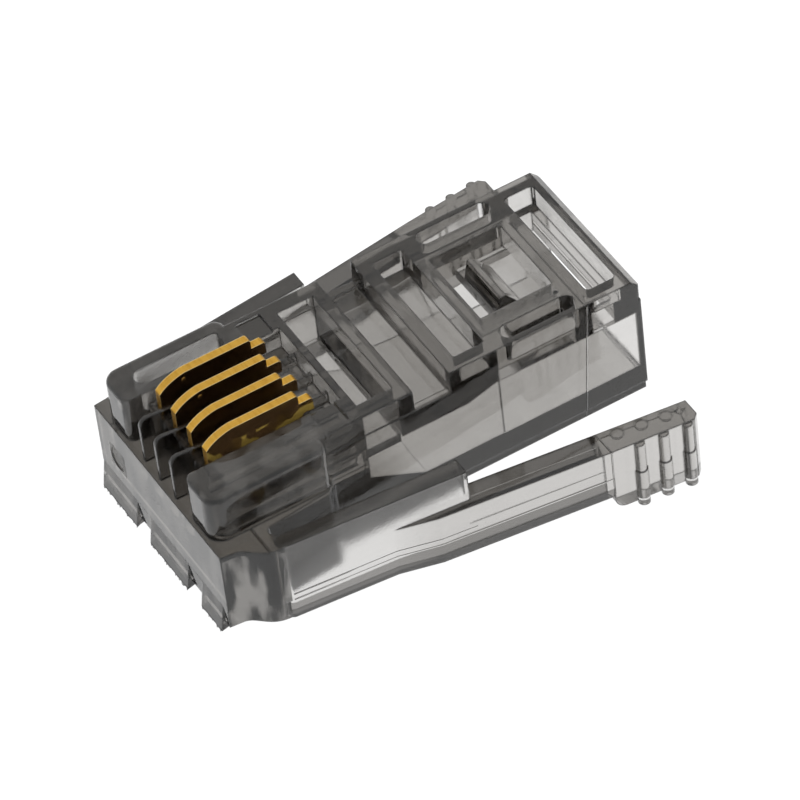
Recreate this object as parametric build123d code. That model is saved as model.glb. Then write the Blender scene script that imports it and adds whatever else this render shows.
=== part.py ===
from build123d import *
import os

# Four-contact modular plug with two side latches, uncrimped, as it leaves the mould.
# Frame while modelling: X across the plug, Y from the nose's front face to the cable entry,
# Z up, with Z = 0 on the mould's parting plane at the nose. All sizes are millimetres.

# Contacts, the pitch of which sets the plug's width
contact_count = 4
contact_pitch = 1.02
contact_thickness = 0.31
contact_top = 5.17
contact_front = 1.2
contact_length = 3.97
contact_brow_length = 1.0
contact_brow_drop = 0.48
contact_brow_lead = 0.35
contact_brow_crest = 0.1
contact_tab_length = 0.52
contact_tab_drop = 0.4
contact_tab_height = 0.5
contact_nick = 0.07
contact_leg_bottom = 2.95
contact_leg_width = 0.7
contact_leg_inset = 0.42
contact_prong = 0.6
contact_front_leg = 1.45
contact_arch_top = 3.95
contact_travel = 0.65
blade_clearance = 0.03

# Walls across the plug, counted outwards from the row of contacts
cheek_wall = 1.56
nose_ledge = 0.56
body_inset = 0.45
block_inset = 0.49
window_wall = 0.6
cavity_wall = 0.55
pocket_wall = 0.55

# Heights above the parting plane
body_parting = -0.28
body_bottom = -0.6
body_draft = 0.05
floor_thickness = 0.9
cavity_height = 2.5
roof_thickness = 0.8
nose_plate_top = 2.56
block_rise = 0.86
rear_block_rise = 0.93

# Nose
nose_under = 0.8
nose_draft = 0.04
root_start_y = 0.4
root_bend_y = 1.0
lip_flare = 0.17
lip_drop = 0.35
lip_length = 0.45
lip_trim = 0.34
notch_width = 0.88
notch_spacing = 3.4
notch_offset = 0.32
notch_top = -0.05
gate_mark_radius = 0.45
gate_mark_depth = 0.04
gate_mark_x = -2.92
gate_mark_z = 1.05
nose_setback = 0.15
cheek_length = 4.48
cheek_front_radius = 0.55
cheek_inner_radius = 0.27
cheek_rear_radius = 0.4
soft_edge = 0.22
block_edge = 0.06
rib_thickness = 0.15
rib_nose_radius = 0.33
rib_fall = 0.5
blade_bed = 3.9
blade_bed_reach = 0.2
contact_pocket_length = 0.83
contact_pocket_floor = 3.55
rim_width = 0.22
rim_rear_width = 0.5
rim_height = 0.08
cheek_pocket_width = 0.7
cheek_pocket_inset = 0.58
cheek_pocket_front = 0.8
cheek_pocket_length = 3.25
cheek_pocket_floor = 3.4

# Window over the conductors, with its clamp bar
window_front_wall = 0.27
window_length = 1.35
block_rear_wall = 0.44
clamp_bar_height = 0.36
clamp_bar_gap = 0.04

# Body and rear block, counted backwards from the nose block
step_length = 1.36
step_rim_width = 0.3
step_rim_height = 0.06
front_pocket_wall = 0.5
front_pocket_length = 1.16
clamp_hole_wall = 0.47
rear_pocket_wall = 0.72
rear_pocket_length = 1.13
rear_wall = 0.55
rear_pocket_ledge = 0.28
rear_pocket_sill = 0.1
pocket_radius = 0.18
front_pocket_radius = 0.09
rear_chamfer = 0.3
corner_radius = 0.12
side_slot_wall = 0.2
side_slot_width = 0.62
side_slot_start = 0.15
side_slot_length = 2.8
round_end = 0.49

# Cable space, with a lower throat for the conductors in front of it
mouth_flare = 0.1
channel_radius = 0.44
channel_centre = 1.76
channel_front = 1.0
funnel_length = 2.05
throat_step = 0.25
throat_length = 2.5
throat_rise_length = 1.2

# Cable clamp, a flap folded down on the cable's jacket
clamp_hole_width = 3.26
clamp_hole_length = 2.75
flap_length = 1.85
flap_side_gap = 0.05
flap_hinge_radius = 0.2
ridge_width = 2.14
ridge_height = 0.75
ridge_front_foot = 0.05
ridge_front_top = 0.2
ridge_rear_top = 0.4
ridge_rear_foot = 1.0

# Side latches, with offsets outwards from the neck and lengths backwards from it
neck_thickness = 0.56
neck_y = 2.1
neck_offset = 0.51
hinge_clearance = 0.03
slot_width = 0.46
slot_rib = 0.02
slot_flare = 0.23
beam_length = 6.35
shoulder_reach = 0.89
shoulder_thickness = 0.68
bar_top = 1.27
bar_under = 0.92
bar_bevel_inset = 0.07
bar_bevel_height = 0.4
flare_start = 3.63
flare_end = 5.11
flare_reach = 1.04
grip_start = 11.18
grip_length = 3.22
grip_reach = 1.83
grip_end_reach = 2.15
grip_end_thickness = 0.9
grip_corner = 0.2
grip_bottom = -1.45
grip_radius = 0.42
grip_rib_count = 3
grip_rib_first = 1.0
grip_rib_pitch = 0.87
grip_rib_radius = 0.22
grip_rib_upper_radius = 0.18
grip_rib_drop = 0.12
grip_rib_top_step = 0.05

# Places worked out from the sizes above
contact_xs = [(i - (contact_count - 1) / 2) * contact_pitch for i in range(contact_count)]
gallery_half = contact_count * contact_pitch / 2
slots_half = gallery_half - rib_thickness / 2
cheek_half = gallery_half + cheek_wall
nose_half = cheek_half + nose_ledge
body_half = cheek_half - body_inset
block_half = cheek_half - block_inset
window_half = body_half - window_wall
cavity_half = body_half - cavity_wall
pocket_half = body_half - pocket_wall
cavity_floor = body_bottom + floor_thickness
cavity_ceiling = cavity_floor + cavity_height
step_floor = cavity_ceiling + roof_thickness
block_top = step_floor + block_rise
rear_block_top = step_floor + rear_block_rise
channel_floor = channel_centre - channel_radius
channel_ceiling = channel_centre + channel_radius
tab_end = contact_front + contact_length
cheek_rear = nose_setback + cheek_length
contact_pocket_rear = tab_end + contact_pocket_length
window_front = contact_pocket_rear + window_front_wall
window_rear = window_front + window_length
funnel_rear = window_front + funnel_length
throat_rear = window_rear + throat_length
cavity_front = throat_rear + throat_rise_length
block_rear = window_rear + block_rear_wall
rear_block_front = block_rear + step_length
front_pocket_y = rear_block_front + front_pocket_wall
clamp_hole_y = front_pocket_y + front_pocket_length + clamp_hole_wall
flap_rear = clamp_hole_y + clamp_hole_length
flap_front = flap_rear - flap_length
flap_floor = step_floor - 2 * flap_hinge_radius
hinge_z = step_floor - flap_hinge_radius
rear_pocket_y = flap_rear + rear_pocket_wall
body_length = rear_pocket_y + rear_pocket_length + rear_wall
neck_half = neck_thickness / 2
neck_x = nose_half + neck_offset
slot_inner_x = neck_x - neck_half - hinge_clearance - slot_rib - slot_width
grip_y = neck_y + grip_start
above = 9.0
beyond = 20.0


def block(x0, x1, y0, y1, z0, z1):
    """A box between two corners."""
    return Pos((x0 + x1) / 2, (y0 + y1) / 2, (z0 + z1) / 2) * Box(x1 - x0, y1 - y0, z1 - z0)


def across(half, y0, y1, z0, z1):
    """A box centred on the plug's middle plane."""
    return block(-half, half, y0, y1, z0, z1)


def rounded(half, y0, y1, z0, z1, radius, x=0.0):
    """A pocket tool with rounded vertical edges."""
    tool = Pos(x, 0, 0) * across(half, y0, y1, z0, z1)
    return fillet(tool.edges().filter_by(Axis.Z), radius)


def plan(points, z0, z1):
    """A closed outline seen from above, extruded from z0 to z1."""
    face = Plane.XY.offset(z0) * make_face(Polyline(*points, close=True))
    return extrude(face, z1 - z0)


def side(outline, x0, x1):
    """A closed outline in the Y-Z plane, extruded from x0 to x1."""
    face = Plane.YZ.offset(x0) * make_face(outline)
    return extrude(face, x1 - x0)


def both_sides(solid):
    """The solid and its mirror image across the middle plane."""
    return [solid, mirror(solid, about=Plane.YZ)]


def contact(x):
    """A stamped blade: rounded front corner, rear tab, two legs that end in piercing prongs."""
    top_rear = tab_end - contact_tab_length
    tab_top = contact_top - contact_tab_drop
    brow_foot = contact_top - contact_brow_drop
    rear_leg = tab_end - contact_leg_inset
    front_leg = contact_front + contact_front_leg
    prong_tip = contact_leg_bottom - contact_prong
    outline = Polyline(
        (contact_front + contact_brow_length, contact_top),
        (top_rear - contact_nick, contact_top),
        (top_rear, contact_top - contact_nick),
        (top_rear, tab_top),
        (tab_end - contact_nick, tab_top),
        (tab_end, tab_top - contact_nick),
        (tab_end, tab_top - contact_tab_height),
        (rear_leg, tab_top - contact_tab_height),
        (rear_leg, contact_leg_bottom),
        (rear_leg - contact_leg_width / 2, prong_tip),
        (rear_leg - contact_leg_width, contact_leg_bottom),
        (rear_leg - contact_leg_width, contact_arch_top),
        (front_leg, contact_arch_top),
        (front_leg, contact_leg_bottom),
        (front_leg - contact_leg_width / 2, prong_tip),
        (front_leg - contact_leg_width, contact_leg_bottom),
        (contact_front, contact_leg_bottom),
        (contact_front, brow_foot),
    )
    crest = (contact_front + contact_brow_lead, contact_top - contact_brow_crest)
    brow = Bezier(outline @ 1, crest, outline @ 0)
    return side(outline + brow, x - contact_thickness / 2, x + contact_thickness / 2)


def nose_outline(inset):
    """Plan of the nose plate's right half, with the curved root that carries the latch's neck."""
    half = nose_half - inset
    root_x = neck_x + neck_half - inset
    front = Line((0, 0), (half, 0))
    edge = Line(front @ 1, (half + nose_draft, root_start_y))
    curve = Bezier(edge @ 1, (half + nose_draft, root_bend_y), (root_x, root_bend_y),
                   (root_x, neck_y - neck_half / 2))
    rear = Polyline(curve @ 1, (root_x, neck_y), (0, neck_y), (0, 0))
    return make_face(front + edge + curve + rear)


def nose_plate():
    """The wide plate under the nose, set in a little below the parting plane."""
    return extrude(nose_outline(0), nose_plate_top) + extrude(nose_outline(nose_draft), -nose_under)


def lip():
    """The lower front lip, which flares forward and is cut into three teeth by two notches."""
    low = -nose_under - lip_drop
    profile = Polyline((0, 0), (-lip_flare, low), (lip_length, low + lip_drop / 2), (lip_length, 0),
                       close=True)
    teeth = side(profile, nose_draft - nose_half, nose_half - lip_trim)
    for sign in (-1, 1):
        centre = notch_offset + sign * notch_spacing / 2
        teeth -= block(centre - notch_width / 2, centre + notch_width / 2, -beyond, lip_length,
                       -beyond, notch_top)
    return teeth


def cheeks():
    """The raised block round the contact gallery, with rounded corners and soft top edges."""
    wide = across(cheek_half, nose_setback, cheek_rear, nose_plate_top, block_top)
    front_corners = wide.edges().filter_by(Axis.Z).group_by(Axis.Y)[0]
    wide = fillet(front_corners, cheek_front_radius)
    rear_corners = wide.edges().filter_by(Axis.Z).group_by(Axis.Y)[-1]
    wide = fillet(rear_corners, cheek_rear_radius)
    wide = fillet(wide.faces().sort_by(Axis.Z)[-1].edges(), soft_edge)
    narrow = across(block_half, neck_y, block_rear, body_parting, block_top)
    narrow = fillet(narrow.edges().filter_by(Axis.Y).group_by(Axis.Z)[-1], block_edge)
    return wide + narrow


def cheek_corners():
    """Rounds the inner front corner of each cheek, beside the outermost contact slot."""
    x = slots_half + cheek_inner_radius
    y = nose_setback + cheek_inner_radius
    corner = block(slots_half, x, -beyond, y, nose_plate_top, above)
    return both_sides(corner - Pos(x, y, 0) * Cylinder(cheek_inner_radius, beyond))


def cheek_pocket():
    """The long blind recess in the top of the left cheek, round in front and squarer behind."""
    x = cheek_pocket_inset - cheek_half
    y = nose_setback + cheek_pocket_front
    tool = block(x, x + cheek_pocket_width, y, y + cheek_pocket_length, cheek_pocket_floor, above)
    tool = fillet(tool.edges().filter_by(Axis.Z).group_by(Axis.Y)[0], cheek_pocket_width * round_end)
    return fillet(tool.edges().filter_by(Axis.Z).group_by(Axis.Y)[-1], pocket_radius)


def gallery():
    """Cut-outs round the contacts: an open slot for each, a bed for its blade and a rear pocket."""
    half = (contact_pitch - rib_thickness) / 2
    low = contact_leg_bottom - contact_prong - contact_travel - blade_clearance
    bed_front = contact_front - blade_bed_reach
    tools = []
    for x in contact_xs:
        tools.append(block(x - half, x + half, -beyond, bed_front, nose_plate_top, above))
        tools.append(block(x - half, x + half, bed_front, tab_end, blade_bed, above))
        tools.append(block(x - half, x + half, tab_end, contact_pocket_rear, contact_pocket_floor, above))
        slot = contact_thickness / 2 + blade_clearance
        tools.append(block(x - slot, x + slot, contact_front - blade_clearance,
                           tab_end + blade_clearance, low, above))
    tools.append(across(block_half - rim_width, cheek_rear + rim_width, window_front - rim_rear_width,
                        block_top - rim_height, above))
    return tools


def rib_tops():
    """Rounds the front top corner of each rib between the slots, and slopes its top down rearwards."""
    y = nose_setback + rib_nose_radius
    z = block_top - rib_nose_radius
    corner = across(slots_half, -beyond, y, z, above)
    corner -= Pos(0, y, z) * Rot(0, 90, 0) * Cylinder(rib_nose_radius, beyond)
    slope = side(Polyline((y, block_top), (contact_pocket_rear, block_top - rib_fall),
                          (contact_pocket_rear, above), (y, above), close=True), -slots_half, slots_half)
    return [corner, slope]


def conductor_space():
    """One round channel for each conductor, and the window that the clamp bar works in."""
    tools = []
    length = window_front - channel_front
    for x in contact_xs:
        tools.append(Pos(x, channel_front + length / 2, channel_centre) * Rot(90, 0, 0)
                     * Cylinder(channel_radius, length))
    tools.append(across(window_half, window_front, window_rear, channel_ceiling, above))
    return tools


def cable_space():
    """The cavity for the cable's jacket, with a low throat in front of it and a flared mouth."""
    middle = (cavity_floor + cavity_ceiling) / 2
    throat = Pos(0, middle) * Rectangle(2 * cavity_half, cavity_height)
    mouth = Pos(0, middle) * Rectangle(2 * (cavity_half + mouth_flare), cavity_height + 2 * mouth_flare)
    flare = loft([Plane.XZ.offset(mouth_flare - body_length) * throat, Plane.XZ.offset(-body_length) * mouth])
    throat_ceiling = channel_ceiling + throat_step
    low_throat = side(Polyline(
        (window_front, channel_floor), (funnel_rear, cavity_floor), (cavity_front, cavity_floor),
        (cavity_front, cavity_ceiling), (throat_rear, throat_ceiling), (window_rear, throat_ceiling),
        (window_rear, channel_ceiling), (window_front, channel_ceiling), close=True),
        -window_half, window_half)
    return [across(cavity_half, cavity_front, body_length, cavity_floor, cavity_ceiling), flare, low_throat]


def rear_pockets():
    """Pockets in the rear block's top, and the hole that the cable clamp works in."""
    front_rear = front_pocket_y + front_pocket_length
    rear_rear = rear_pocket_y + rear_pocket_length
    slot_half = side_slot_width / 2
    slot_y = clamp_hole_y + side_slot_start
    slot = rounded(slot_half, slot_y, slot_y + side_slot_length, step_floor, above,
                   side_slot_width * round_end, x=body_half - side_slot_wall - slot_half)
    hinge_room = flap_rear + flap_hinge_radius + hinge_clearance
    return [
        rounded(pocket_half, front_pocket_y, front_rear, step_floor, above, front_pocket_radius),
        rounded(pocket_half, rear_pocket_y, rear_rear, step_floor + rear_pocket_sill, above,
                pocket_radius),
        across(pocket_half - rear_pocket_ledge, rear_pocket_y, rear_rear - rear_pocket_ledge,
               cavity_ceiling, above),
        across(clamp_hole_width / 2, clamp_hole_y, flap_rear, cavity_ceiling, above),
        across(clamp_hole_width / 2, clamp_hole_y, hinge_room, cavity_ceiling, hinge_z),
        across(body_half - step_rim_width, block_rear, rear_block_front, step_floor - step_rim_height,
               above),
        hinge_bar(flap_hinge_radius + hinge_clearance),
    ] + both_sides(slot)


def hinge_bar(radius):
    """The round web that the cable clamp folds on, along the rear edge of its hole."""
    return Pos(0, flap_rear, hinge_z) * Rot(0, 90, 0) \
        * Cylinder(radius, clamp_hole_width - 2 * flap_side_gap)


def rear_block():
    """The tall block over the cable entry, with its rear corners and rear top edge softened."""
    rear = across(body_half, rear_block_front, body_length, body_parting, rear_block_top)
    rear = fillet(rear.edges().filter_by(Axis.Z).group_by(Axis.Y)[-1], corner_radius)
    corner = Polyline((body_length - rear_chamfer, rear_block_top),
                      (body_length, rear_block_top), (body_length, rear_block_top - rear_chamfer),
                      close=True)
    return rear - side(corner, -beyond, beyond)


def shelf():
    """The plate's right rear half beside the latch, which narrows to the body behind the cheeks."""
    return plan([(0, neck_y), (slot_inner_x, neck_y), (slot_inner_x - slot_flare, cheek_rear - slot_flare),
                 (body_half, cheek_rear + slot_flare), (0, cheek_rear + slot_flare)],
                body_bottom, nose_plate_top)


def housing():
    """The transparent moulding, without the latches and clamps that move."""
    shell = across(body_half, neck_y, body_length, body_parting, step_floor)
    shell += across(body_half - body_draft, neck_y, body_length - body_draft, body_bottom, body_parting)
    shell += rear_block()
    shell += cheeks()
    for half in both_sides(nose_plate()) + both_sides(shelf()):
        shell += half
    shell += lip()
    slot_radius = slot_width / 2
    cuts = both_sides(Pos(slot_inner_x + slot_radius, neck_y, 0) * Cylinder(slot_radius, beyond))
    cuts += both_sides(Pos(neck_x, neck_y, 0) * Cylinder(neck_half + hinge_clearance, beyond))
    cuts.append(Pos(gate_mark_x, 0, gate_mark_z) * Rot(90, 0, 0)
                * Cylinder(gate_mark_radius, 2 * gate_mark_depth))
    cuts += gallery() + rib_tops() + cheek_corners() + [cheek_pocket()] + rear_pockets()
    cuts += conductor_space() + cable_space()
    for tool in cuts:
        shell -= tool
    return shell


def latch_outline(points):
    """A plan outline closed by the round end of the neck, from the last point to the first."""
    root = ThreePointArc(points[-1], (neck_x, neck_y - neck_half), points[0])
    return make_face(Polyline(*points) + root)


def latch():
    """The right-hand latch: neck, upper beam with the locking shoulder, lower bar and ribbed grip."""
    outer_root = (neck_x + neck_half, neck_y)
    inner_root = (neck_x - neck_half, neck_y)
    outer_shoulder = (neck_x + shoulder_reach, neck_y + beam_length)
    inner_shoulder = (neck_x + shoulder_reach - shoulder_thickness, neck_y + beam_length)
    beam = extrude(latch_outline([outer_root, outer_shoulder, inner_shoulder, inner_root]),
                   nose_plate_top)
    flare_x = outer_root[0] + (outer_shoulder[0] - outer_root[0]) * flare_start / beam_length
    grip_inner = neck_x + grip_end_reach - grip_end_thickness
    lean = (grip_inner - inner_shoulder[0]) / (grip_start + grip_length - beam_length)
    pad_inner = inner_shoulder[0] + lean * (grip_start - beam_length)
    bar_outline = latch_outline([
        outer_root, (flare_x, neck_y + flare_start), (neck_x + flare_reach, neck_y + flare_end),
        (neck_x + grip_reach, grip_y), (pad_inner, grip_y), inner_shoulder, inner_root,
    ])
    skirt = extrude(bar_outline, -bar_under)
    base = skirt.faces().sort_by(Axis.Z)[0]
    sides = [edge for edge in base.edges() if edge.length > flare_end - flare_start]
    skirt = chamfer(sides, bar_bevel_inset, bar_bevel_height, reference=base)
    return beam + extrude(bar_outline, bar_top) + skirt + grip(pad_inner)


def grip(pad_inner):
    """The finger pad: a tall block with a rounded lower front corner and upright round ribs."""
    start_x = neck_x + grip_reach
    end_x = neck_x + grip_end_reach
    end_y = grip_y + grip_length
    pad = plan([(pad_inner, grip_y), (start_x, grip_y), (end_x, end_y - grip_corner),
                (end_x - grip_corner, end_y), (end_x - grip_end_thickness, end_y)],
               grip_bottom, bar_top)
    slope = (end_x - start_x) / (grip_length - grip_corner)
    low = grip_bottom - grip_rib_drop
    top = bar_top - grip_rib_top_step
    for i in range(grip_rib_count):
        along = grip_rib_first + i * grip_rib_pitch
        place = Pos(start_x + slope * along, grip_y + along, 0)
        pad += place * Pos(0, 0, low / 2) * Cylinder(grip_rib_radius, -low)
        pad += place * Pos(0, 0, (low + top) / 2) * Cylinder(grip_rib_upper_radius, top - low)
    heel_y = grip_y + grip_radius
    heel_z = grip_bottom + grip_radius
    heel = block(0, beyond, grip_y, heel_y, grip_bottom, heel_z)
    heel -= Pos(0, heel_y, heel_z) * Rot(0, 90, 0) * Cylinder(grip_radius, 3 * beyond)
    return pad - heel


def conductor_clamp():
    """The bar at the bottom of the window, which is pressed down on the conductors."""
    return across(window_half - clamp_bar_gap, window_front + clamp_bar_gap,
                  window_rear - clamp_bar_gap, channel_ceiling, channel_ceiling + clamp_bar_height)


def cable_clamp():
    """The flap with a roof-shaped ridge, which folds down on the cable's jacket."""
    half = clamp_hole_width / 2 - flap_side_gap
    foot = step_floor
    flap = across(half, flap_front, flap_rear, flap_floor, foot)
    profile = Polyline((flap_front + ridge_front_foot, foot),
                       (flap_front + ridge_front_top, foot + ridge_height),
                       (flap_front + ridge_rear_top, foot + ridge_height),
                       (flap_front + ridge_rear_foot, foot), close=True)
    return flap + side(profile, -ridge_width / 2, ridge_width / 2) + hinge_bar(flap_hinge_radius)


os.makedirs("parts", exist_ok=True)
right_latch = latch()
nodes = {
    "housing": housing(),
    "latch_right": right_latch,
    "latch_left": mirror(right_latch, about=Plane.YZ),
    "conductor_clamp": conductor_clamp(),
    "cable_clamp": cable_clamp(),
}
for number, x in enumerate(contact_xs, start=1):
    nodes[f"contact_{number}"] = contact(x)

# The finished frame stands on the lowest ribs and is centred on the plug's overall length.
low = grip_bottom - grip_rib_drop
middle = (body_length - lip_flare) / 2
for name, solid in nodes.items():
    export_step(Pos(0, -middle, -low) * solid, f"parts/{name}.step")
print("length", round(body_length, 3), "shift", round(middle, 4), round(low, 3))
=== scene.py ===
import bpy
import numpy as np
from mathutils import Matrix, Vector


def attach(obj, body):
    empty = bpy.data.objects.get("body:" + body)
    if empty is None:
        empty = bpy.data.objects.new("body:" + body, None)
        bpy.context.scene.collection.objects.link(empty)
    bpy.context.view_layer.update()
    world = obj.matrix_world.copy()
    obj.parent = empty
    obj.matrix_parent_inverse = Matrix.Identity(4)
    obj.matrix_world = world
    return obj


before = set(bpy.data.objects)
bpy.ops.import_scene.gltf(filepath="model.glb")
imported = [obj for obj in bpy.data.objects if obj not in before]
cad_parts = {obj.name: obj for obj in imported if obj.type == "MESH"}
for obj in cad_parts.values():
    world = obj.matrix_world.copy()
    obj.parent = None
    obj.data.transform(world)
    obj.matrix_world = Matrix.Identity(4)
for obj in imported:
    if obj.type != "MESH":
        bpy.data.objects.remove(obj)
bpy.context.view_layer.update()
mm = 0.001
smooth = {"interpolation_type": "SMOOTHSTEP"}
falling = {"To Min": 1.0, "To Max": 0.0}


# sRGB hex text to a linear RGBA tuple: the usual two-part curve, channel by channel
def linear(hexColour):
    channels = np.array([int(hexColour[i:i + 2], 16) for i in (1, 3, 5)]) / 255
    low = channels / 12.92
    high = ((channels + 0.055) / 1.055) ** 2.4
    return (*np.where(channels <= 0.04045, low, high).tolist(), 1.0)


# adds one node: each value sets a property or an input, or links the input from a node or a socket
def addNode(tree, kind, settings=None):
    node = tree.nodes.new(kind)
    for name, value in (settings or {}).items():
        if isinstance(value, bpy.types.Node):
            value = value.outputs[0]
        if isinstance(value, bpy.types.NodeSocket):
            tree.links.new(value, node.inputs[name])
        elif isinstance(name, str) and hasattr(node, name):
            setattr(node, name, value)
        else:
            node.inputs[name].default_value = value
    return node


def emptyMaterial(name):
    material = bpy.data.materials.new(name)
    material.use_nodes = True
    material.node_tree.nodes.clear()
    return material, material.node_tree


# the place on the part in the shared frame, in millimetres
def placeOnPart(tree):
    coords = addNode(tree, "ShaderNodeTexCoord")
    return addNode(tree, "ShaderNodeVectorMath", {
        "operation": "SCALE", 0: coords.outputs["Object"], "Scale": 1 / mm})


# cloudy pattern with `cells` per millimetre along each axis
def cloud(tree, place, cells, detail=2.0):
    stretched = addNode(tree, "ShaderNodeVectorMath", {"operation": "MULTIPLY", 0: place, 1: cells})
    return addNode(tree, "ShaderNodeTexNoise", {"Vector": stretched, "Scale": 1.0, "Detail": detail})


# `strength` inside a box, 0 outside it: the largest distance past its faces, faded over `soft` millimetres
def boxMask(tree, place, low, high, soft, strength=1.0):
    middle = [(a + b) / 2 for a, b in zip(low, high)]
    half = [(b - a) / 2 for a, b in zip(low, high)]
    offset = addNode(tree, "ShaderNodeVectorMath", {"operation": "SUBTRACT", 0: place, 1: middle})
    size = addNode(tree, "ShaderNodeVectorMath", {"operation": "ABSOLUTE", 0: offset})
    past = addNode(tree, "ShaderNodeVectorMath", {"operation": "SUBTRACT", 0: size, 1: half})
    axes = addNode(tree, "ShaderNodeSeparateXYZ", {0: past})
    flat = addNode(tree, "ShaderNodeMath", {"operation": "MAXIMUM", 0: axes.outputs[0], 1: axes.outputs[1]})
    largest = addNode(tree, "ShaderNodeMath", {"operation": "MAXIMUM", 0: flat, 1: axes.outputs[2]})
    return addNode(tree, "ShaderNodeMapRange", {
        **smooth, "Value": largest, "From Min": 0.0, "From Max": soft, "To Min": strength, "To Max": 0.0})


# 1 on the plane where place · slope = level, fading to 0 at `width` millimetres from it
def planeLine(tree, place, slope, level, width):
    along = addNode(tree, "ShaderNodeVectorMath", {"operation": "DOT_PRODUCT", 0: place, 1: slope})
    offset = addNode(tree, "ShaderNodeMath", {"operation": "SUBTRACT", 0: along.outputs["Value"], 1: level})
    distance = addNode(tree, "ShaderNodeMath", {"operation": "ABSOLUTE", 0: offset})
    return addNode(tree, "ShaderNodeMapRange", {
        **smooth, **falling, "Value": distance, "From Min": 0.0, "From Max": width})


# the larger of several masks, and 0 where there is none
def anyOf(tree, masks):
    result = masks[0] if masks else 0.0
    for mask in masks[1:]:
        result = addNode(tree, "ShaderNodeMath", {"operation": "MAXIMUM", 0: result, 1: mask})
    return result


# clear gloss polycarbonate, injection moulded: the tint lies in its depth, so thin walls look pale and the nose
# black; its skin has faint sinks, orange peel, rubbed scratches, a haze and dust, a dark line of painted shade
# along each rounded edge and painted shade in some patches, and it stays dull, satin or scattering where the mould
# was eroded or the plastic flowed last
smokePlastic = {
    "surface": "#FFFFFF",
    "absorption": "#938D84",
    "ior": 1.585,
    "gloss": 0.03,
    # from here on in millimetres, and patterns in cells per millimetre; the grit of the dull and satin skins is
    # finer on the real plug, and drawn as coarse as it has to be to show
    "edgeRadius": 0.09, "edgeSamples": 4,
    # the edge colour below is painted shade: a dark line painted along each rounded edge
    "edgeShade": "#2E2C2A", "edgeTurn": {"From Min": 0.96, "From Max": 0.998},     # cosine of the edge's turn
    "hazeCells": (0.8, 0.5, 1.3), "hazeDetail": 3.0,
    "hazeShare": {"From Min": 0.5, "From Max": 0.62}, "hazeRoughness": 0.15,
    "sinkCells": (0.8, 0.8, 0.8), "sinkDetail": 1.0, "sinkDepth": 0.008,
    "peelCells": (9.0, 9.0, 9.0), "peelDepth": 0.0004,
    "scratchCells": (9.0, 1.1, 14.0), "scratchDetail": 3.0,
    "scratchShare": {"From Min": 0.68, "From Max": 0.76}, "scratchRoughness": 0.2,
    "dust": "#E4E1DC", "speckCells": 2.6, "speckRadius": {"From Min": 0.02, "From Max": 0.05},
    "speckShare": {"From Min": 0.78, "From Max": 0.8}, "speckStrength": 0.5,
    "dullRoughness": 0.42, "dullCells": (14.0, 14.0, 14.0), "dullDetail": 3.0, "dullDepth": 0.012,
    "satinRoughness": 0.13, "satinCells": (18.0, 18.0, 18.0), "satinDetail": 3.0, "satinDepth": 0.003,
    "frost": "#DAD7D3", "frostCells": (1.3, 1.1, 0.35), "frostDetail": 3.0,
    "frostShare": {"From Min": 0.42, "From Max": 0.6},
    "patchFade": 0.04,
    "lineWidth": 0.04, "lineDepth": 0.03, "lineFade": 0.02,
}

# places in millimetres: a patch is a box with its strength, and a line is a plane that is kept to a box
housingFinish = {
    "density": 880.0,            # per metre: half the light is lost in each millimetre
    # painted shade: the colour laid into the shade patches below
    "paintedShade": "#A6A4A2",
    "dullPatches": [
        ((-3.06, -7.35, 4.9), (-2.28, -4.03, 5.95), 1.0),     # recess in the left cheek
        ((-3.4, -8.4, 2.15), (-2.4, -8.2, 3.1), 1.0),         # gate mark on the nose
    ],
    "satinPatches": [
        ((3.95, -8.2, 0.8), (5.4, -6.0, 4.05), 1.0),          # outside of the latches' roots
        ((-5.4, -8.2, 0.8), (-3.95, -6.0, 4.05), 1.0),
    ],
    "paintedShadePatches": [
        ((-4.3, -8.6, 0.3), (4.3, -7.7, 0.74), 1.0),          # painted shade on the torn lip
        ((-1.5, -8.3, 4.2), (1.5, -3.3, 6.2), 1.0),           # painted shade on the ribs between the contacts
        ((-4.3, -8.4, 0.78), (4.3, -8.08, 6.2), 0.3),         # painted shade on the front of the nose and of the cheeks
    ],
    "frostPatches": [
        ((3.95, -8.2, 0.8), (5.4, -6.0, 3.9), 0.4),           # outside of the latches' roots
        ((-5.4, -8.2, 0.8), (-3.95, -6.0, 3.9), 0.4),
        ((1.8, -8.05, 4.3), (3.7, -3.4, 6.3), 0.08),          # cheeks
        ((-3.7, -8.05, 4.3), (-1.8, -3.4, 6.3), 0.04),
        ((-4.3, -8.4, 0.78), (4.3, -8.2, 4.05), 0.12),        # front of the nose
    ],
    "lines": [                                                # weld line of the right wall, seam of the right root
        {"slope": (0, 1, -0.08), "level": 5.95, "low": (3.0, 5.5, 1.0), "high": (3.3, 6.8, 6.0)},
        {"slope": (0, 1, -0.09), "level": -6.68, "low": (4.4, -7.0, 0.6), "high": (5.4, -6.1, 4.0)},
    ],
}
latchFinish = {
    "density": 740.0,            # thinner look, because the satin skin throws light out of the bar
    # painted shade: the colour laid into the shade patches below
    "paintedShade": "#62605E",
    "dullPatches": [],
    "satinPatches": [
        ((4.3, -6.4, 1.1), (6.0, 0.0, 4.08), 1.0),            # front beams
        ((-6.0, -6.4, 1.1), (-4.3, 0.0, 4.08), 1.0),
    ],
    "paintedShadePatches": [
        ((4.3, -6.4, 0.5), (7.0, 5.0, 1.1), 1.0),             # painted shade on the bevels along the lower edges
        ((-7.0, -6.4, 0.5), (-4.3, 5.0, 1.1), 1.0),
    ],
    "frostPatches": [],
    "lines": [                                                # witness lines of the right beam and of its grip
        {"slope": (0, 0, 1), "level": 1.57, "low": (4.9, -6.2, 1.4), "high": (7.2, 5.0, 1.7)},
        {"slope": (0, 0, 1), "level": 1.82, "low": (4.9, -6.2, 1.7), "high": (7.2, 0.2, 1.9)},
        {"slope": (0, 1, 0), "level": 5.02, "low": (4.9, 4.9, 0.6), "high": (7.2, 5.1, 3.0)},
    ],
}
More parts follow.
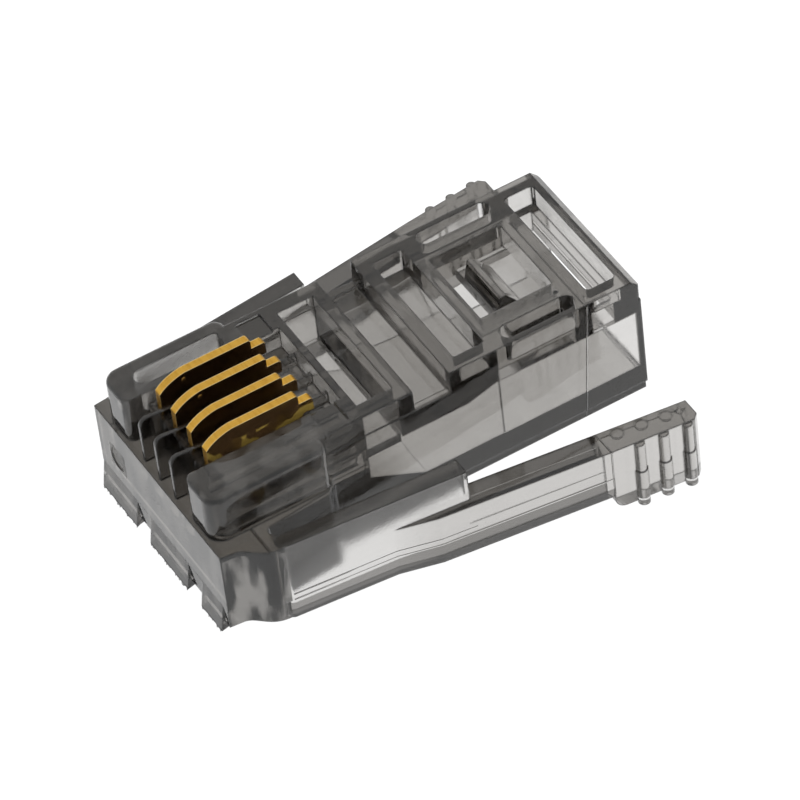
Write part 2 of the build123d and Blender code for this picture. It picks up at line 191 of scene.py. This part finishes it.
clampFinish = {                  # darker than its depth alone, because the thin pieces hang in their own shade
    "density": 1300.0, "paintedShade": "#FFFFFF",
    "dullPatches": [], "satinPatches": [], "paintedShadePatches": [], "frostPatches": [], "lines": [],
}


# the finish's patches and lines become masks that drive the skin, and the depth absorbs light between the faces
def polycarbonate(name, finish):
    material, tree = emptyMaterial(name)
    spec = smokePlastic
    place = placeOnPart(tree)
    dull, satin, paintedShadeMask, frosted = [
        anyOf(tree, [boxMask(tree, place, low, high, spec["patchFade"], strength)
                     for low, high, strength in finish[patches]])
        for patches in ("dullPatches", "satinPatches", "paintedShadePatches", "frostPatches")]
    marks = []
    for line in finish["lines"]:
        drawn = planeLine(tree, place, line["slope"], line["level"], spec["lineWidth"])
        kept = boxMask(tree, place, line["low"], line["high"], spec["lineFade"])
        marks.append(addNode(tree, "ShaderNodeMath", {"operation": "MULTIPLY", 0: drawn, 1: kept}))
    lines = anyOf(tree, marks)

    # dust: one speck in each chosen cell
    dots = addNode(tree, "ShaderNodeTexVoronoi", {"Vector": place, "Scale": spec["speckCells"]})
    pick = addNode(tree, "ShaderNodeSeparateColor", {0: dots.outputs["Color"]})
    chosen = addNode(tree, "ShaderNodeMapRange", {
        **smooth, "Value": pick, **spec["speckShare"], "To Max": spec["speckStrength"]})
    spot = addNode(tree, "ShaderNodeMapRange", {**smooth, **falling, "Value": dots, **spec["speckRadius"]})
    specks = addNode(tree, "ShaderNodeMath", {"operation": "MULTIPLY", 0: chosen, 1: spot})

    # relief, in millimetres: each pattern is added to the ones before it
    sinks = addNode(tree, "ShaderNodeMath", {
        "operation": "MULTIPLY", 0: cloud(tree, place, spec["sinkCells"], spec["sinkDetail"]),
        1: spec["sinkDepth"]})
    peel = addNode(tree, "ShaderNodeMath", {
        "operation": "MULTIPLY_ADD", 0: cloud(tree, place, spec["peelCells"]), 1: spec["peelDepth"], 2: sinks})
    dullRelief = addNode(tree, "ShaderNodeMath", {"operation": "MULTIPLY", 0: dull, 1: spec["dullDepth"]})
    withDull = addNode(tree, "ShaderNodeMath", {
        "operation": "MULTIPLY_ADD", 0: cloud(tree, place, spec["dullCells"], spec["dullDetail"]),
        1: dullRelief, 2: peel})
    satinRelief = addNode(tree, "ShaderNodeMath", {"operation": "MULTIPLY", 0: satin, 1: spec["satinDepth"]})
    withSatin = addNode(tree, "ShaderNodeMath", {
        "operation": "MULTIPLY_ADD", 0: cloud(tree, place, spec["satinCells"], spec["satinDetail"]),
        1: satinRelief, 2: withDull})
    height = addNode(tree, "ShaderNodeMath", {
        "operation": "MULTIPLY_ADD", 0: lines, 1: spec["lineDepth"], 2: withSatin})
    corner = addNode(tree, "ShaderNodeBevel", {"samples": spec["edgeSamples"], "Radius": spec["edgeRadius"] * mm})
    relief = addNode(tree, "ShaderNodeBump", {"Distance": mm, "Height": height, "Normal": corner})

    # an edge is where the rounded normal turns away from the flat one, and there a dark line is painted into the
    # colour as painted shade
    face = addNode(tree, "ShaderNodeNewGeometry")
    turned = addNode(tree, "ShaderNodeVectorMath", {
        "operation": "DOT_PRODUCT", 0: corner, 1: face.outputs["True Normal"]})
    edge = addNode(tree, "ShaderNodeMapRange", {
        **smooth, **falling, "Value": turned.outputs["Value"], **spec["edgeTurn"]})

    # the roughest of the marks that meet in a place, and gloss where there is none
    rubbed = addNode(tree, "ShaderNodeMapRange", {
        **smooth, "Value": cloud(tree, place, spec["scratchCells"], spec["scratchDetail"]),
        **spec["scratchShare"]})
    hazy = addNode(tree, "ShaderNodeMapRange", {
        **smooth, "Value": cloud(tree, place, spec["hazeCells"], spec["hazeDetail"]), **spec["hazeShare"]})
    rough = anyOf(tree, [
        addNode(tree, "ShaderNodeMapRange", {
            **smooth, "Value": mask, "To Min": spec["gloss"], "To Max": spec[f"{mark}Roughness"]})
        for mark, mask in (("haze", hazy), ("dull", dull), ("satin", satin), ("scratch", rubbed))])

    # painted shade: the shade patches darken the colour, and the edges then get their painted dark line
    withPaintedShade = addNode(tree, "ShaderNodeMix", {
        "data_type": "RGBA", 0: paintedShadeMask, 6: linear(spec["surface"]), 7: linear(finish["paintedShade"])})
    withPaintedEdgeLine = addNode(tree, "ShaderNodeMix", {
        "data_type": "RGBA", 0: edge, 6: withPaintedShade.outputs[2], 7: linear(spec["edgeShade"])})
    clear = addNode(tree, "ShaderNodeBsdfPrincipled", {
        "Base Color": withPaintedEdgeLine.outputs[2], "IOR": spec["ior"], "Transmission Weight": 1.0,
        "Roughness": rough, "Normal": relief})
    dust = addNode(tree, "ShaderNodeBsdfDiffuse", {"Color": linear(spec["dust"])})
    dusty = addNode(tree, "ShaderNodeMixShader", {0: specks, 1: clear, 2: dust})
    flow = addNode(tree, "ShaderNodeMapRange", {
        **smooth, "Value": cloud(tree, place, spec["frostCells"], spec["frostDetail"]), **spec["frostShare"]})
    scattered = addNode(tree, "ShaderNodeMath", {"operation": "MULTIPLY", 0: frosted, 1: flow})
    frost = addNode(tree, "ShaderNodeBsdfDiffuse", {"Color": linear(spec["frost"])})
    surface = addNode(tree, "ShaderNodeMixShader", {0: scattered, 1: dusty, 2: frost})
    depth = addNode(tree, "ShaderNodeVolumeAbsorption", {
        "Color": linear(spec["absorption"]), "Density": finish["density"]})
    addNode(tree, "ShaderNodeOutputMaterial", {"Surface": surface, "Volume": depth})
    return material


# gold flash over stamped phosphor bronze: the sheared edges are matt with a fine cross grain, drawn coarse enough
# to show, and real burrs painted pale as highlight lines; the flat sides were rolled smooth and mirror the black
# plastic beside them, and their colour is painted darker as painted shade
goldPlate = {
    "edge": "#DDAE4C", "edgeShade": "#C4953A", "edgeRoughness": 0.36,
    "grainCells": (1.5, 26.0, 26.0), "grainDetail": 4.0, "grainShare": {"From Min": 0.36, "From Max": 0.58},
    "grainDepth": 0.003,
    "thickness": 0.31, "burrHighlight": "#F3DFA6", "burrWidth": 0.03,
    "pitch": 1.02, "rowMiddle": 2.5,                          # contacts are numbered from 1 on the left
    "flank": "#7E6140", "flankGlow": "#97783F", "flankRoughness": 0.34, "flankCells": (1.3, 1.3, 1.3),
    "flankShare": {"From Min": 0.5, "From Max": 0.75},
    "flankNormal": {"From Min": 0.6, "From Max": 0.8},        # how far a flank's normal points sideways
    # bumps that the stamping left, and blotches where light reaches the flank through the cheek
    "dimples": {1: (-1.375, -6.135, 6.46), 2: (-0.355, -6.1, 6.5)},
    "dimpleRadius": {"From Min": 0.045, "From Max": 0.09}, "dimpleHeight": 0.07,
    "litContact": 4, "litFlank": "#D8BC62", "litRoughness": 0.6,
    "litBelow": {"From Min": 6.15, "From Max": 6.2},
    "litCells": (1.6, 1.6, 1.6), "litDetail": 1.0, "litShare": {"From Min": 0.46, "From Max": 0.49},
}


# the edge and the flank each get a colour and a roughness, and the normal tells which one is met
def goldOverBronze(number):
    material, tree = emptyMaterial(f"gold over bronze, contact {number}")
    spec = goldPlate
    place = placeOnPart(tree)
    axes = addNode(tree, "ShaderNodeSeparateXYZ", {0: place})
    coords = addNode(tree, "ShaderNodeTexCoord")
    normal = addNode(tree, "ShaderNodeSeparateXYZ", {0: coords.outputs["Normal"]})
    sideways = addNode(tree, "ShaderNodeMath", {"operation": "ABSOLUTE", 0: normal})
    isFlank = addNode(tree, "ShaderNodeMapRange", {**smooth, "Value": sideways, **spec["flankNormal"]})

    # sheared edge: cross grain, and burrs along both sides, painted pale as a painted highlight
    grain = cloud(tree, place, spec["grainCells"], spec["grainDetail"])
    grained = addNode(tree, "ShaderNodeMapRange", {**smooth, "Value": grain, **spec["grainShare"]})
    sheared = addNode(tree, "ShaderNodeMix", {
        "data_type": "RGBA", 0: grained, 6: linear(spec["edgeShade"]), 7: linear(spec["edge"])})
    fromMiddle = addNode(tree, "ShaderNodeMath", {
        "operation": "SUBTRACT", 0: axes.outputs["X"], 1: (number - spec["rowMiddle"]) * spec["pitch"]})
    offset = addNode(tree, "ShaderNodeMath", {"operation": "ABSOLUTE", 0: fromMiddle})
    burrHighlight = addNode(tree, "ShaderNodeMapRange", {
        **smooth, "Value": offset, "From Min": spec["thickness"] / 2 - spec["burrWidth"],
        "From Max": spec["thickness"] / 2})
    edge = addNode(tree, "ShaderNodeMix", {
        "data_type": "RGBA", 0: burrHighlight, 6: sheared.outputs[2], 7: linear(spec["burrHighlight"])})

    # rolled flank: painted shade, dark with a faint glow in cloudy patches
    glow = addNode(tree, "ShaderNodeMapRange", {
        **smooth, "Value": cloud(tree, place, spec["flankCells"]), **spec["flankShare"]})
    side = addNode(tree, "ShaderNodeMix", {
        "data_type": "RGBA", 0: glow, 6: linear(spec["flank"]), 7: linear(spec["flankGlow"])})
    lit, spot = 0.0, 0.0
    if number == spec["litContact"]:
        low = addNode(tree, "ShaderNodeMapRange", {
            **smooth, **falling, "Value": axes.outputs["Z"], **spec["litBelow"]})
        blotch = addNode(tree, "ShaderNodeMapRange", {
            **smooth, "Value": cloud(tree, place, spec["litCells"], spec["litDetail"]), **spec["litShare"]})
        lit = addNode(tree, "ShaderNodeMath", {"operation": "MULTIPLY", 0: low, 1: blotch})
        side = addNode(tree, "ShaderNodeMix", {
            "data_type": "RGBA", 0: lit, 6: side.outputs[2], 7: linear(spec["litFlank"])})
    if number in spec["dimples"]:
        away = addNode(tree, "ShaderNodeVectorMath", {
            "operation": "DISTANCE", 0: place, 1: spec["dimples"][number]})
        spot = addNode(tree, "ShaderNodeMapRange", {
            **smooth, **falling, "Value": away.outputs["Value"], **spec["dimpleRadius"]})
        side = addNode(tree, "ShaderNodeMix", {
            "data_type": "RGBA", 0: spot, 6: side.outputs[2], 7: linear(spec["edgeShade"])})

    colour = addNode(tree, "ShaderNodeMix", {
        "data_type": "RGBA", 0: isFlank, 6: edge.outputs[2], 7: side.outputs[2]})
    flankRough = addNode(tree, "ShaderNodeMapRange", {
        "Value": lit, "To Min": spec["flankRoughness"], "To Max": spec["litRoughness"]})
    rough = addNode(tree, "ShaderNodeMapRange", {
        "Value": isFlank, "To Min": spec["edgeRoughness"], "To Max": flankRough})
    dome = addNode(tree, "ShaderNodeMath", {"operation": "MULTIPLY", 0: spot, 1: spec["dimpleHeight"]})
    height = addNode(tree, "ShaderNodeMath", {
        "operation": "MULTIPLY_ADD", 0: grain, 1: spec["grainDepth"], 2: dome})
    relief = addNode(tree, "ShaderNodeBump", {"Distance": mm, "Height": height})
    shader = addNode(tree, "ShaderNodeBsdfPrincipled", {
        "Metallic": 1.0, "Base Color": colour.outputs[2], "Roughness": rough, "Normal": relief})
    addNode(tree, "ShaderNodeOutputMaterial", {"Surface": shader})
    return material


plastics = {
    "housing": polycarbonate("smoke polycarbonate, housing", housingFinish),
    "latch": polycarbonate("smoke polycarbonate, latches", latchFinish),
    "clamp": polycarbonate("smoke polycarbonate, clamps", clampFinish),
}
for name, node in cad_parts.items():
    node.data.materials.clear()
    if name.startswith("contact"):
        node.data.materials.append(goldOverBronze(int(name[-1])))
    else:
        kind = "clamp" if name.endswith("clamp") else name.split("_")[0]
        node.data.materials.append(plastics[kind])
print("materials on", len(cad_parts), "nodes")

# the lip's three teeth are torn off along their lower front edge, where a rag of the same plastic hangs
tornLip = {
    "teeth": ((-4.12, -1.82), (-0.94, 1.58), (2.46, 3.82)),   # from left to right, in millimetres
    "front": -8.435, "bottom": 0.42,                          # lower front edge of the teeth
    "step": 0.02, "rag": 0.06, "hang": 0.11, "poke": 0.03, "depth": 0.1, "bite": 0.04,
    "seed": 7,
}
tornFinish = {
    "density": 1300.0,
    # painted shade: the whole torn lip is painted darker
    "paintedShade": "#8A8886",
    "dullPatches": [], "satinPatches": [], "frostPatches": [], "lines": [],
    "paintedShadePatches": [((-4.3, -8.6, 0.0), (4.3, -7.7, 1.0), 1.0)],
}


# a four-cornered profile carried along each tooth: its lower corners sink and poke forward by a ragged share
# between 0 and 1, the square of random heights that are joined by straight lines
def makeTornLip():
    spec = tornLip
    random = np.random.default_rng(spec["seed"])
    profile = np.arange(4)
    points, faces = [], []
    for start, end in spec["teeth"]:
        x = np.arange(start + spec["step"], end - spec["step"], spec["step"])
        knots = np.arange(start, end + spec["rag"], spec["rag"])
        share = np.interp(x, knots, random.random(len(knots))) ** 2
        flat = np.zeros_like(x)
        y = spec["front"] + np.stack([
            flat, -spec["poke"] * share, flat + spec["depth"], flat + spec["depth"]], axis=1)
        z = spec["bottom"] + np.stack([
            flat + spec["bite"], -spec["hang"] * share, spec["bite"] * (1 / 2 - share),
            flat + 2 * spec["bite"]], axis=1)
        first = sum(len(part) for part in points)
        points.append(np.stack([np.repeat(x[:, None], 4, axis=1), y, z], axis=2).reshape(-1, 3))
        rings = np.arange(len(x) - 1)[:, None] * 4
        corner, following = rings + profile, rings + (profile + 1) % 4
        walls = np.stack([corner, following, following + 4, corner + 4], axis=2).reshape(-1, 4)
        caps = np.stack([profile[::-1], 4 * (len(x) - 1) + profile])
        faces.append(np.concatenate([walls, caps]) + first)
    mesh = bpy.data.meshes.new("torn_lip")
    mesh.from_pydata((np.concatenate(points) * mm).tolist(), [], np.concatenate(faces).tolist())
    mesh.materials.append(polycarbonate("smoke polycarbonate, torn edge", tornFinish))
    lip = bpy.data.objects.new("torn_lip", mesh)
    bpy.context.scene.collection.objects.link(lip)
    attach(lip, "housing")


makeTornLip()
print("torn lip made")

# white studio: the floor shows white to the camera, and the part sees it lit by the sky, darker in its own shade;
# it lies a hair lower than the part's feet, so that their undersides still bend the light
studio = {
    "floorSize": 2.0, "floorDrop": 0.05,       # metres, millimetres
    "floorColour": "#5A5A5A", "floorGlow": 0.78,
    "worldLight": 0.95, "white": 1.0,
}


# strength `seen` for the camera and for what it sees mirrored or through the plastic, and `unseen` for other light
def backdropStrength(tree, unseen, seen):
    path = addNode(tree, "ShaderNodeLightPath")
    looks = anyOf(tree, [path.outputs[f"Is {ray} Ray"] for ray in ("Camera", "Glossy", "Transmission")])
    return addNode(tree, "ShaderNodeMapRange", {"Value": looks, "To Min": unseen, "To Max": seen})


def makeFloor():
    size, level = studio["floorSize"], -studio["floorDrop"] * mm
    mesh = bpy.data.meshes.new("floor")
    mesh.from_pydata([(x, y, level) for x, y in ((-size, -size), (size, -size), (size, size), (-size, size))],
                     [], [(0, 1, 2, 3)])
    floor = bpy.data.objects.new("floor", mesh)
    bpy.context.scene.collection.objects.link(floor)
    material, tree = emptyMaterial("paper floor")
    glow = addNode(tree, "ShaderNodeEmission", {
        "Strength": backdropStrength(tree, studio["floorGlow"], studio["white"])})
    matt = addNode(tree, "ShaderNodeBsdfDiffuse", {"Color": linear(studio["floorColour"])})
    both = addNode(tree, "ShaderNodeAddShader", {0: matt, 1: glow})
    addNode(tree, "ShaderNodeOutputMaterial", {"Surface": both})
    mesh.materials.append(material)


def makeWorld():
    world = bpy.data.worlds.new("studio")
    world.use_nodes = True
    tree = world.node_tree
    tree.nodes.clear()
    light = addNode(tree, "ShaderNodeBackground", {
        "Strength": backdropStrength(tree, studio["worldLight"], studio["white"])})
    addNode(tree, "ShaderNodeOutputWorld", {"Surface": light})
    bpy.context.scene.world = world


# the photograph's viewpoint: a long lens from the right front, 46 degrees above the table, rolled a little
viewpoint = {
    "place": (136.159, -64.678, 160.706),      # millimetres; the lens and the sensor too
    "right": (0.51271806, 0.8540712, -0.08765033),
    "up": (-0.59171612, 0.42549, 0.68471183),
    "back": (0.622087, -0.29920001, 0.7235241),
    "lens": 298.32, "sensor": 36.0,
    "near": 0.01, "far": 10.0,                 # metres
}


def makeCamera():
    data = bpy.data.cameras.new("photo camera")
    data.lens = viewpoint["lens"]
    data.sensor_width = viewpoint["sensor"]
    data.clip_start = viewpoint["near"]
    data.clip_end = viewpoint["far"]
    camera = bpy.data.objects.new("photo camera", data)
    turn = Matrix((viewpoint["right"], viewpoint["up"], viewpoint["back"])).transposed().to_4x4()
    camera.matrix_world = Matrix.Translation(Vector(viewpoint["place"]) * mm) @ turn
    bpy.context.scene.collection.objects.link(camera)
    bpy.context.scene.camera = camera


makeFloor()
makeWorld()
makeCamera()
scene = bpy.context.scene
scene.view_settings.view_transform = "Standard"
scene.cycles.max_bounces = 24                  # light crosses many walls of clear plastic
scene.cycles.transmission_bounces = 24
scene.cycles.glossy_bounces = 12
scene.cycles.volume_bounces = 2
scene.cycles.denoising_input_passes = "RGB"
print("studio and camera made")
